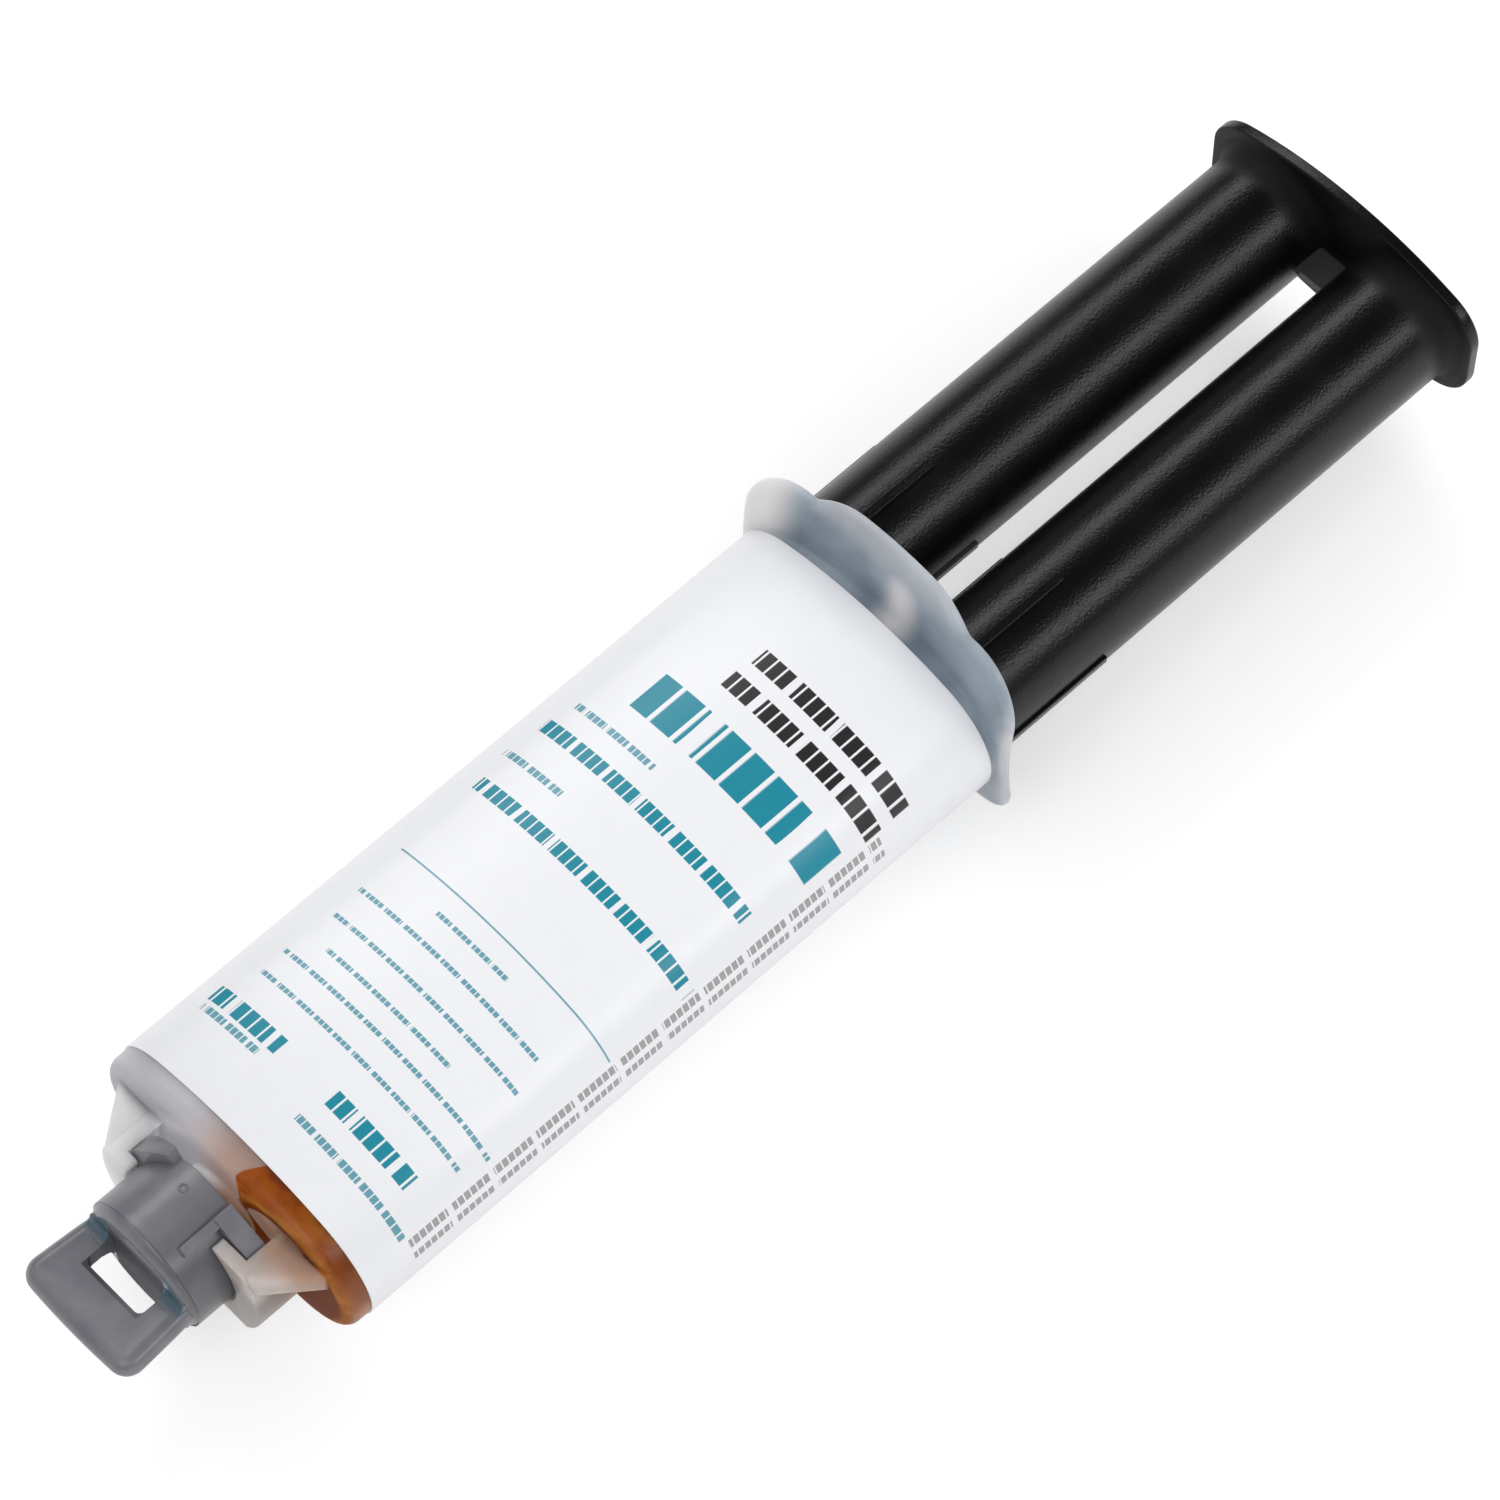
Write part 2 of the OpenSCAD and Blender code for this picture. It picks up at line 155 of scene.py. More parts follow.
def flange_distance(y, z):
    """Signed distance to the flange: two ears and two lobes, blended where they meet."""
    ears = round_box(y, z, EAR_W, EAR_H, EAR_R)
    lobes = round_box(y, abs(z) + y * y / (2 * LOBE_BOW), LOBE_W, LOBE_H, LOBE_R)
    blend = 0.5
    mix = max(0.0, min(1.0, 0.5 + (lobes - ears) / (2 * blend)))
    return lobes + (ears - lobes) * mix - blend * mix * (1 - mix)


def plate_distance(y, z):
    """Signed distance to the thumb plate's bowed outline."""
    low = PLATE_H - PLATE_BOW
    cy = PLATE_W - PLATE_R
    cz = low + math.sqrt((PLATE_BOW - PLATE_R) ** 2 - cy * cy)
    y, z = abs(y), abs(z)
    if math.atan2(z - low, y) > math.atan2(cz - low, cy):
        return math.hypot(y, z - low) - PLATE_BOW
    if z < cz:
        return y - PLATE_W
    return math.hypot(y - cy, z - cz) - PLATE_R


def handle_distance(x, y):
    """Signed distance to the handle's outline, with X from its middle."""
    x, y = x + HANDLE_X, abs(y)
    half = NECK_W + (TIP_W - NECK_W) * max(0.0, min(1.0, (x - CAP_FRONT) / HANDLE_L)) ** 0.8
    to_side, to_tip = y - half + TIP_R, x - CAP_FRONT - HANDLE_L + TIP_BOW * (y / half) ** 2 + TIP_R
    edge = math.hypot(max(to_side, 0), max(to_tip, 0)) + min(max(to_side, to_tip), 0) - TIP_R
    return max(edge, CAP_FRONT - HANDLE_ROOT - x)


def reach(distance, angle, inset):
    """How far the outline, moved inwards by inset, lies from the axis at an angle."""
    low, high = 0.0, 40.0
    for _ in range(40):
        middle = (low + high) / 2
        if distance(middle * math.cos(angle), middle * math.sin(angle)) + inset < 0:
            low = middle
        else:
            high = middle
    return low


def half_chord(r, height):
    """How far a circle round the axis reaches sideways at a height."""
    return math.sqrt(r**2 - height**2)


# Mesh helpers


def place(bm, name, material, body, smooth_angle=SHARP):
    """Turns a mesh drawn in millimetres into a finished piece that rides on a body."""
    bmesh.ops.recalc_face_normals(bm, faces=bm.faces)
    bmesh.ops.transform(bm, matrix=placement, verts=bm.verts)
    mesh = bpy.data.meshes.new(name)
    bm.to_mesh(mesh)
    bm.free()
    mesh.shade_smooth()
    mesh.set_sharp_from_angle(angle=math.radians(smooth_angle))
    piece = bpy.data.objects.new(name, mesh)
    bpy.context.scene.collection.objects.link(piece)
    piece.data.materials.append(material)
    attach(piece, body)
    return piece


def loft(bm, distance, stations, count=240, upright=None):
    """Extrudes a ring of points through stations of (height, inset, share of the way out, dished).

    The heights run along X, or along Z where upright gives the X of the outline's middle.
    """
    ring = bmesh.ops.create_circle(bm, segments=count, radius=1)["verts"]
    bm.verts.index_update()
    angles = [2 * math.pi * i / count for i in range(count)]

    def shape(verts, height, inset, share=1, dished=False):
        for vert, angle in zip(verts, angles):
            r = share * reach(distance, angle, inset)
            a, b = r * math.cos(angle), r * math.sin(angle)
            if upright is not None:
                vert.co = (upright + a, b, height)
            else:
                vert.co = (height - (b * b / (2 * FLANGE_DISH) if dished else 0), a, b)

    shape(ring, *stations[0])
    rings = [ring]
    for station in stations[1:]:
        made = bmesh.ops.extrude_edge_only(bm, edges=ring_edges(bm, rings[-1]))["geom"]
        new = {v for v in made if isinstance(v, bmesh.types.BMVert)}
        following = [next(e.other_vert(v) for e in v.link_edges if e.other_vert(v) in new)
                     for v in rings[-1]]
        shape(following, *station)
        rings.append(following)
    return rings


def ring_edges(bm, ring):
    return [bm.edges.get((ring[i], ring[i - 1])) for i in range(len(ring))]


def close_ends(bm, rings):
    """Fills the first and the last ring of a loft."""
    for ring in (rings[0], rings[-1]):
        bmesh.ops.contextual_create(bm, geom=ring + ring_edges(bm, ring))


def rectangle(a0, a1, b0, b1):
    return [(a0, b0), (a1, b0), (a1, b1), (a0, b1)]


def prism(bm, points, low, high, along="X"):
    """A straight slab over an outline, between two heights along X, Y or Z."""
    turn = {"X": lambda a, b, h: (h, a, b), "Y": lambda a, b, h: (a, h, b),
            "Z": lambda a, b, h: (a, b, h)}[along]
    face = bm.faces.new([bm.verts.new(turn(a, b, low)) for a, b in points])
    made = bmesh.ops.extrude_face_region(bm, geom=[face])["geom"]
    moved = [v for v in made if isinstance(v, bmesh.types.BMVert)]
    bmesh.ops.translate(bm, verts=moved, vec=Vector(turn(0, 0, high - low)))


def round_edges(bm, width, chosen=lambda edge: True, segments=4):
    """Rounds the sharp edges that a test picks out."""
    bmesh.ops.recalc_face_normals(bm, faces=bm.faces)
    edges = [e for e in bm.edges
             if e.is_manifold and e.calc_face_angle(0) > math.radians(SHARP) and chosen(e)]
    bmesh.ops.bevel(bm, geom=edges, offset=width, offset_type="OFFSET", segments=segments,
                    profile=0.5, affect="EDGES", clamp_overlap=True, material=-1)


def turned(bm, profile, steps=96):
    """Spins a profile of (x, radius) points round the X axis."""
    verts = [bm.verts.new((x, 0, r)) for x, r in profile]
    edges = [bm.edges.new(pair) for pair in zip(verts, verts[1:])]
    bmesh.ops.spin(bm, geom=verts + edges, cent=(0, 0, 0), axis=(1, 0, 0),
                   angle=2 * math.pi, steps=steps, use_merge=True)
    bmesh.ops.remove_doubles(bm, verts=bm.verts, dist=1e-4)


def arc(cx, cy, r, start, end, steps=12):
    """Points on an arc, angles in degrees."""
    turn = [math.radians(start + (end - start) * i / steps) for i in range(steps + 1)]
    return [(cx + r * math.cos(a), cy + r * math.sin(a)) for a in turn]


def bevelled(piece, width):
    """A live bevel on the sharp edges, with a width in millimetres."""
    bevel = piece.modifiers.new("edge_rounding", "BEVEL")
    bevel.width = width * MM
    bevel.segments = 2
    bevel.limit_method = "ANGLE"
    bevel.angle_limit = math.radians(SHARP)
    bevel.harden_normals = True
    return piece


def combined(piece, others, operation="UNION", smooth_angle=SHARP):
    """Joins other pieces to this one, or cuts them from it, and removes them."""
    for other in others:
        cut = piece.modifiers.new("combine", "BOOLEAN")
        cut.operation = operation
        cut.solver = "EXACT"
        cut.object = other
    bpy.context.view_layer.update()
    result = piece.evaluated_get(bpy.context.evaluated_depsgraph_get())
    mesh = bpy.data.meshes.new_from_object(result)
    bm = bmesh.new()
    bm.from_mesh(mesh)
    bmesh.ops.remove_doubles(bm, verts=bm.verts, dist=1e-6)
    bmesh.ops.dissolve_degenerate(bm, edges=bm.edges, dist=1e-6)
    bm.to_mesh(mesh)
    bm.free()
    piece.modifiers.clear()
    piece.data = mesh
    mesh.shade_smooth()
    mesh.set_sharp_from_angle(angle=math.radians(smooth_angle))
    for other in others:
        bpy.data.objects.remove(other)
    return piece


# Shader helpers


class Value:
    """A shader socket that can be used in Python expressions."""

    def __init__(self, shader, socket):
        self.shader = shader
        self.socket = socket

    def math(self, operation, a, b):
        return self.shader.node("ShaderNodeMath", {"operation": operation}, {0: a, 1: b})

    def __add__(self, other):
        return self.math("ADD", self, other)

    __radd__ = __add__

    def __sub__(self, other):
        return self.math("SUBTRACT", self, other)

    def __rsub__(self, other):
        return self.math("SUBTRACT", other, self)

    def __mul__(self, other):
        return self.math("MULTIPLY", self, other)

    __rmul__ = __mul__

    def __abs__(self):
        return self.math("ABSOLUTE", self, 0)

    def above(self, low, high):
        """Rises smoothly from 0 at low to 1 at high."""
        return self.shader.node(
            "ShaderNodeMapRange", {"interpolation_type": "SMOOTHSTEP"},
            {"Value": self, "From Min": low, "From Max": high})

    def larger(self, other):
        return self.math("MAXIMUM", self, other)

    def root(self):
        return self.math("SQRT", self, 0)

    def output(self, name):
        """Another output of the node that this value comes from."""
        return Value(self.shader, self.socket.node.outputs[name])

    def wrapped(self, period):
        return self.math("FLOORED_MODULO", self, period)


class Shader:
    """A material, or the world, and the nodes that make it."""

    def __init__(self, name, target=None):
        self.material = target or bpy.data.materials.new(name)
        self.material.use_nodes = True
        self.tree = self.material.node_tree
        self.tree.nodes.clear()

    def node(self, kind, settings=None, inputs=None, output=0):
        made = self.tree.nodes.new(kind)
        for key, value in (settings or {}).items():
            setattr(made, key, value)
        for key, value in (inputs or {}).items():
            if isinstance(value, Value):
                self.tree.links.new(value.socket, made.inputs[key])
            else:
                made.inputs[key].default_value = value
        return Value(self, made.outputs[output]) if made.outputs else None

    def place(self):
        """X, Y and Z in millimetres from the middle of the nose face."""
        spot = self.node("ShaderNodeTexCoord", output="Object")
        x = self.node("ShaderNodeSeparateXYZ", {}, {0: spot})
        y, z = x.output("Y"), x.output("Z")
        return (x - nose_x) * (1 / MM), y * (1 / MM), (z - axis_z) * (1 / MM)

    def noise(self, scale, detail=3.0, roughness=0.5):
        """Even noise from 0 to 1; scale is in cycles per metre."""
        spot = self.node("ShaderNodeTexCoord", output="Object")
        return self.node("ShaderNodeTexNoise", {},
                         {"Vector": spot, "Scale": scale, "Detail": detail,
                          "Roughness": roughness})

    def blend(self, share, first, second):
        """A colour between two others."""
        made = self.tree.nodes.new("ShaderNodeMix")
        made.data_type = "RGBA"
        for key, value in ((0, share), (6, first), (7, second)):
            if isinstance(value, Value):
                self.tree.links.new(value.socket, made.inputs[key])
            else:
                made.inputs[key].default_value = value
        return Value(self, made.outputs[2])

    def bump(self, height, strength, distance):
        return self.node("ShaderNodeBump", {},
                         {"Strength": strength, "Distance": distance, "Height": height})

    def plastic(self, **inputs):
        """The surface itself, with the names of its inputs in words joined by underscores."""
        named = {key.replace("_", " "): value for key, value in inputs.items()}
        surface = self.node("ShaderNodeBsdfPrincipled", {}, named)
        self.node("ShaderNodeOutputMaterial", {}, {"Surface": surface})
        return self.material


def colour(red, green, blue):
    """A colour given as it shows on the screen, from 0 to 255."""
    def linear(v):
        v /= 255
        return v / 12.92 if v <= 0.04045 else ((v + 0.055) / 1.055) ** 2.4
    return (linear(red), linear(green), linear(blue), 1.0)


def nose_tints(s, x, y, z, cloud):
    """The nose face and the jaws, tinted by the contents that shine through them, with painted
    shade on the jaws' lower parts.
    """
    # the clear resin shines through grey and the amber hardener reddish
    clear = s.blend(cloud, colour(180, 178, 185), colour(194, 193, 199))
    rosy = s.blend(cloud, colour(158, 132, 122), colour(168, 144, 134))
    warm = s.blend(cloud, colour(160, 122, 100), colour(168, 134, 116))
    face = s.blend(y.above(-7.0, 1.5), clear, rosy)
    face = s.blend(y.above(2.0, 9.0), face, warm)
    # the jaws are bare plastic, with the contents' tint near their roots; their lower parts are
    # painted darker as painted shade
    bare = s.blend(cloud, colour(206, 205, 206), colour(222, 221, 222))
    upper = z.above(1.0, 4.6)
    mottled = s.blend(cloud.above(0.35, 0.65), colour(174, 164, 160), colour(198, 192, 190))
    root = s.blend(upper, colour(118, 80, 54), colour(162, 132, 113))
    tip = s.blend(upper, colour(130, 124, 120), mottled)
    jaws = s.blend(x.above(1.5, 6.0), root, tip)
    jaws = s.blend(y.above(-2.0, 2.0), bare, jaws)
    return s.blend(x.above(0.0, 0.8), face, jaws)


def hardener_tint(s, x, y, z, cloud):
    """The hardener's amber, and how much of it shows through the wall beside the label."""
    from_bore = ((y - AXIS_Y) * (y - AXIS_Y) + z * z).root()
    swirl = s.noise(300, 4).above(0.4, 0.6)
    depth = from_bore + cloud * 0.8
    thin = s.blend(swirl, colour(150, 84, 16), colour(172, 108, 42))
    thick = s.blend(swirl, colour(124, 52, 0), colour(154, 76, 0))
    amber = s.blend(depth.above(8.0, 9.0), colour(108, 46, 0), thin)
    amber = s.blend(depth.above(9.3, 10.2), amber, thick)
    amber = s.blend((1.0 - z).above(0, 7) * 0.5, amber, colour(104, 42, 0))
    beside = (y + x * 0.6).above(2.55, 2.8)
    outside = (from_bore + (3.5 - z).above(0, 6) * 9).above(6.9, 7.3)
    return amber, beside * outside * (1 - x.above(0.0, 0.4))


def flange_tint(s, x, y, z):
    """The flange, where the black rods show through blue, with light between and beside them."""
    streak = s.noise(110, 4)
    across = y - 2.8 + streak * 2.4
    outer = abs(z).above(14.2, 18.0)
    gap = across.above(-2.2, 1.2) * (1 - across.above(1.4, 4.8)) * (0.7 - outer * 0.66)
    ends = (1 - across.above(-19.5, -13.5)).larger(across.above(17.0, 20.5) * 0.6)
    in_front = x.above(0.45 - BARREL_L, 1.35 - BARREL_L)
    light = gap.larger(ends).larger(outer * 0.3).larger(in_front * 0.5)
    smoky = s.blend(streak.above(0.25, 0.75), colour(118, 132, 147), colour(154, 168, 180))
    pale = s.blend(streak, colour(222, 218, 217), colour(236, 234, 235))
    return s.blend(light, smoky, pale)


def milky_plastic():
    """Milky polypropylene, tinted by what lies behind it."""
    s = Shader("milky_plastic")
    x, y, z = s.place()
    cloud = s.noise(160, 3)
    base = nose_tints(s, x, y, z, cloud)
    amber, shown = hardener_tint(s, x, y, z, cloud)
    base = s.blend(shown, base, amber)
    base = s.blend(x.above(-60, -50), flange_tint(s, x, y, z), base)
    # painted glow, by emission, for the light that reaches the nose face and the jaws through the
    # plastic, behind and beside the cap
    from_axis = (y * y + z * z).root()
    jaws = x.above(0.3, 1.5)
    lit = x.above(-3.0, -0.5) * (0.42 - jaws * 0.3) * (1 - from_axis.above(9.2, 12.4))
    glow = s.blend(lit.larger(jaws * 0.11), colour(0, 0, 0), base)
    matt = x.above(-1.0, -0.1) * (1 - x.above(0.1, 0.5)) * 0.5
    return s.plastic(Base_Color=base, Emission_Color=glow, Emission_Strength=1.0,
                     Roughness=0.34 + matt, Specular_IOR_Level=0.4,
                     Normal=s.bump(s.noise(900, 2), 0.05, 0.0003), Subsurface_Weight=0.8,
                     Subsurface_Radius=(1.0, 0.9, 0.8), Subsurface_Scale=0.005)


def label_film():
    """White film with plain rules and broken bars."""
    s = Shader("label_film")
    x, y, z = s.place()
    paper = s.blend(s.noise(400, 2), colour(243, 244, 248), colour(247, 248, 251))
    top = z.above(4.9, 5.1)
    wander = s.noise(60, 2) * 1.5
    # shifts the start of the patterns that repeat
    start = 100.0

    def bar(x0, x1, y0, y1):
        edge = 0.06
        inside = x.above(x0 - edge, x0 + edge) * (1 - x.above(x1 - edge, x1 + edge))
        return inside * y.above(y0 - edge, y0 + edge) * (1 - y.above(y1 - edge, y1 + edge)) * top

    def row(centre, height, low, high, block=0):
        """A printed row: a plain rule, or one broken into short blocks."""
        mark = bar(centre - height / 2, centre + height / 2, low, high)
        if block:
            along = y + start + centre * 0.3
            mark = mark * along.wrapped(block).above(block * 0.12, block * 0.2)
            mark = mark * (along + wander).wrapped(block * 4.3).above(block * 0.5, block * 0.6)
        return mark

    def rows(*marks):
        ink = row(*marks[0])
        for mark in marks[1:]:
            ink = ink.larger(row(*mark))
        return ink

    black = rows((-81.6, 2.4, -3.8, 18.4, 1.5), (-77.4, 2.4, -4.2, 20, 1.5))
    teal = rows((-70.4, 5.6, -9.5, 17.8, 3.6), (-59.9, 1.9, -15.4, 16.8, 1.2),
                (-49.9, 1.9, -14.5, 19.3, 1.2), (-13.0, 2.2, -15.5, -4.7, 1.5),
                (-13.0, 2.2, 3.4, 15.4, 1.5))
    thin = rows((-63.9, 0.9, -13.9, -1.7, 0.8), (-54.7, 0.9, -15.5, -6.4, 0.8),
                (-38.5, 0.22, -14.2, 19.7), (-35.5, 0.6, -5, 6, 0.7), (-32, 0.6, -13.6, 14.6, 0.7),
                (-28, 0.6, -13.2, 15.6, 0.7), (-24.4, 0.6, -10.2, 9.2, 0.7),
                (-21.4, 0.6, -13.8, 18.1, 0.7), (-18, 0.6, -13.5, 17.2, 0.7),
                (-10.9, 0.9, -15.2, -6.1, 0.8), (-8.9, 0.9, 2.5, 18.4, 0.8))
    ink = s.blend(teal, paper, colour(0, 142, 164))
    ink = s.blend(thin, ink, colour(104, 164, 182))
    ink = s.blend(black, ink, colour(40, 36, 38))
    # two fine rows run along the side
    side = (z + start).wrapped(1.9).above(0.8, 0.9) * z.above(0.9, 1.0) * (1 - z.above(4.7, 4.8))
    side = side * y.above(0, 1) * x.above(-78, -77.9) * (1 - x.above(-9.1, -9.0))
    side = side * (x + start).wrapped(0.9).above(0.16, 0.22)
    side = side * (x + start + wander).wrapped(6.1).above(0.7, 0.8)
    ink = s.blend(side, ink, colour(164, 161, 163))
    return s.plastic(Base_Color=ink, Roughness=0.42, Coat_Weight=0.15, Coat_Roughness=0.3)


def black_plastic():
    """Satin black plastic with a fine moulded grain."""
    s = Shader("black_plastic")
    grain = s.noise(3200, 2)
    wear = s.noise(120, 4).above(0.45, 0.8)
    x, y, z = s.place()
    base = s.blend(wear, colour(5, 5, 6), colour(10, 10, 11))
    # the web between the rods is painted a lighter grey; the feet of the rods are matt
    web = x.above(PLATE_X + 0.7, PLATE_X + 0.9) * (1 - abs(y).above(2.7, 3.0))
    web = web * (1 - abs(z).above(WEB_T + 0.05, WEB_T + 0.1))
    base = s.blend(web, base, colour(58, 58, 59))
    foot = x.above(PLATE_X - 0.2, PLATE_X + 0.1) * (1 - x.above(PLATE_X + 1.9, PLATE_X + 4.9))
    rough = 0.3 + wear * 0.05 + foot * 0.4
    return s.plastic(Base_Color=base, Roughness=rough, Normal=s.bump(grain, 0.45, 0.0001),
                     Specular_IOR_Level=0.35)


def grey_plastic():
    """Mid grey moulded plastic with faint flow marks; painted shade on one side of the cap and in
    the slot, and a painted blue reflection in the fillets of the handle.
    """
    s = Shader("grey_plastic")
    x, y, z = s.place()
    flow = s.noise(240, 4).above(0.3, 0.75)
    base = s.blend(flow, colour(112, 113, 120), colour(126, 126, 132))
    # painted shade: the round part, lugs left out, is painted darker towards its +Y side
    from_axis = (y * y + z * z).root()
    skin = (1 - from_axis.above(8.5, 8.6)).larger(from_axis.above(11.2, 11.3))
    round_part = 1 - x.above(CAP_FRONT - 0.8, CAP_FRONT - 0.3)
    base = s.blend(skin * y.above(-1.0, 6.0) * round_part, base, colour(100, 100, 105))
    # painted shade tinted blue, standing in for a reflection, in the concave fillets between the
    # handle's arms and the cap
    fillet = x.above(CAP_FRONT - 0.3, CAP_FRONT - 0.1)
    fillet = fillet * (1 - x.above(CAP_FRONT + 0.4, CAP_FRONT + FILLET_R))
    fillet = fillet * abs(y).above(4.3, 4.5) * (1 - abs(y).above(7.3, 7.7))
    base = s.blend(fillet * 0.8, base, colour(74, 104, 118))
    # painted shade: the walls of the slot are painted dark, most of all its corner
    slot = x.above(CAP_FRONT - 0.9, CAP_FRONT - 0.8)
    slot = slot * (1 - x.above(CAP_FRONT + SLOT_L + 0.4, CAP_FRONT + SLOT_L + 0.6))
    slot = slot * (1 - abs(y).above(SLOT_W / 2 - 0.04, SLOT_W / 2 + 0.04))
    slot = slot * (1 - z.above(3.0, 6.5))
    base = s.blend(slot * (0.75 - y.above(-4.0, 4.0) * 0.4), base, colour(34, 36, 40))
    return s.plastic(Base_Color=base, Roughness=0.31 + slot * 0.6,
                     Normal=s.bump(s.noise(1500, 2), 0.1, 0.0002))


def plain_finish(name, low, high, roughness):
    s = Shader(name)
    base = s.blend(s.noise(300, 3), colour(*low), colour(*high))
    return s.plastic(Base_Color=base, Roughness=roughness)


MILKY = milky_plastic()
LABEL = label_film()
BLACK = black_plastic()
GREY = grey_plastic()
CHARGE_FINISHES = {
    "resin_charge": plain_finish("clear_resin", (190, 185, 194), (202, 198, 206), 0.2),
    "hardener_charge": plain_finish("amber_hardener", (150, 78, 4), (182, 100, 10), 0.2),
}

# Barrel with its flange


def barrel_shell():
    """The closed outer shape of the barrel, from its round shoulder to the flange."""
    quarter = [math.radians(90 * i / 6) for i in range(7)]
    straight_end, rear = 2.25 - BARREL_L, -BARREL_L - 0.8
    stations = [(0, SHOULDER_R, share) for share in (0.6, 0.85)]
    stations += [(-SHOULDER_R * (1 - math.cos(a)), SHOULDER_R * (1 - math.sin(a)))
                 for a in quarter]
    stations += [(x, 0) for x in (-LABEL_INSET, -30, -60, straight_end)]
    stations += [(-BARREL_L + BARREL_FOOT * (1 - math.sin(a)),
                  -BARREL_FOOT * (1 - math.cos(a)), 1, True) for a in quarter]
    stations += [(rear, -BARREL_FOOT, 1, True)]
    bm = bmesh.new()
    close_ends(bm, loft(bm, barrel_distance, stations))
    return place(bm, "barrel_body", MILKY, "cartridge")


def flange():
    """The dished flange with its round rim, as a closed ring-shaped slab."""
    half = [math.radians(180 * i / 8) for i in range(9)]
    front, rear = -BARREL_L, -BARREL_L - FLANGE_T
    stations = [(front, 0, share, True) for share in (0.2, 0.45, 0.6, 0.75, 0.88)]
    stations += [(front, FLANGE_RIM + 0.9, 1, True)]
    stations += [((front + rear) / 2 + FLANGE_T / 2 * math.cos(a),
                  FLANGE_RIM * (1 - math.sin(a)), 1, True) for a in half]
    stations += [(rear, 0, share, True) for share in (0.94, 0.85, 0.7, 0.5, 0.25)]
    bm = bmesh.new()
    close_ends(bm, loft(bm, flange_distance, stations))
    return place(bm, "finger_flange", MILKY, "cartridge")


def bores():
    """The two round chambers, as shapes to cut with."""
    cutters = []
    rear = -BARREL_L - 6
    for side in SIDES.values():
        bm = bmesh.new()
        turned(bm, [(rear, 0), (rear, BORE_R), (-NOSE_WALL, BORE_R), (-NOSE_WALL, 0)])
        bmesh.ops.translate(bm, verts=bm.verts, vec=(0, side * AXIS_Y, 0))
        cutters.append(place(bm, "bore_cut", MILKY, "cartridge"))
    return cutters


def jaw_wall(z_low, z_high):
    """The curved wall of a jaw, blunt at the lower end of its inner side."""
    inner = CAP_R + LIP_GAP
    toe = z_low + 0.9
    low, high = (math.degrees(math.asin(z / JAW_R)) for z in (z_low, z_high))
    low_in, high_in = (math.degrees(math.asin(z / inner)) for z in (toe, z_high))
    outline = [(half_chord(inner, toe) + 0.3, z_low), (half_chord(JAW_R, z_low), z_low)]
    outline += arc(0, 0, JAW_R, low + 6, high - 6, 10)
    outline += [(half_chord(JAW_R, z_high), z_high), (half_chord(inner, z_high), z_high)]
    outline += arc(0, 0, inner, high_in - 8, low_in, 10)
    bm = bmesh.new()
    prism(bm, outline, -SINK, JAW_L)
    round_edges(bm, 0.8, lambda e: abs(e.verts[0].co.x - e.verts[1].co.x) > 1
                and e.verts[0].co.z > 0)
    round_edges(bm, 0.35, lambda e: min(v.co.x for v in e.verts) > JAW_L - 0.01)
    return place(bm, "jaw_wall", MILKY, "cartridge")


def jaw_gusset(z_high):
    """The gusset that props a jaw, just below the jaw's upper end."""
    front, top = JAW_L - 0.3, z_high - GUSSET_STEP
    bm = bmesh.new()
    prism(bm, [(-SHOULDER_R, GUSSET_BASE), (-SHOULDER_R, GUSSET_ROOT), (0, GUSSET_ROOT),
               (front, GUSSET_TIP), (front, GUSSET_BASE)], top - GUSSET_T, top, "Z")
    round_edges(bm, 0.6)
    return place(bm, "jaw_gusset", MILKY, "cartridge")


def jaw(heights, lug_r, side):
    """A hook-shaped jaw: wall with its lip, gusset, and the pocket that the lug turns in."""
    pockets = []
    for r, x in ((lug_r + POCKET_GAP, JAW_L - LIP_T), (CAP_R + LIP_GAP, JAW_L + 1)):
        bm = bmesh.new()
        turned(bm, [(-0.15, 0), (-0.15, r), (x, r), (x, 0)])
        pockets.append(place(bm, "jaw_pocket", MILKY, "cartridge"))
    wall = combined(jaw_wall(*heights), [jaw_gusset(heights[1])])
    combined(wall, pockets, "DIFFERENCE")
    if side < 0:
        wall.data.transform(Matrix.Scale(-1, 4, (0, 1, 0)))
        wall.data.flip_normals()
    return wall


def outlet_boss():
    bm = bmesh.new()
    turned(bm, [(-SINK, 0), (-SINK, BOSS_R), (BOSS_L - BOSS_EDGE, BOSS_R),
                (BOSS_L, BOSS_R - BOSS_EDGE), (BOSS_L, 0)])
    return place(bm, "outlet_boss", MILKY, "cartridge")


def make_barrel():
    body = barrel_shell()
    jaws = [jaw(WIDE_JAW, WIDE_LUG_R, SIDES["hardener"]),
            jaw(NARROW_JAW, NARROW_LUG_R, SIDES["resin"])]
    combined(body, [flange(), *jaws, outlet_boss()])
    combined(body, bores(), "DIFFERENCE", 40)
    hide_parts("barrel")


def make_label():
    """The wrap label: a sleeve whose outer edges are slightly rounded."""
    front, rear = -LABEL_INSET, -LABEL_INSET - LABEL_L
    edge, drop = 0.05, 0.03
    stations = [(front, drop - LABEL_T), (front - edge, -LABEL_T)]
    stations += [(front - LABEL_L * share, -LABEL_T) for share in (0.25, 0.5, 0.75)]
    stations += [(rear + edge, -LABEL_T), (rear, drop - LABEL_T), (rear, 0), (front, 0)]
    bm = bmesh.new()
    rings = loft(bm, barrel_distance, stations)
    ends = ring_edges(bm, rings[0]) + ring_edges(bm, rings[-1])
    bmesh.ops.bridge_loops(bm, edges=ends)
    piece = place(bm, "wrap_label", LABEL, "cartridge")
    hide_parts("label")


# Plunger


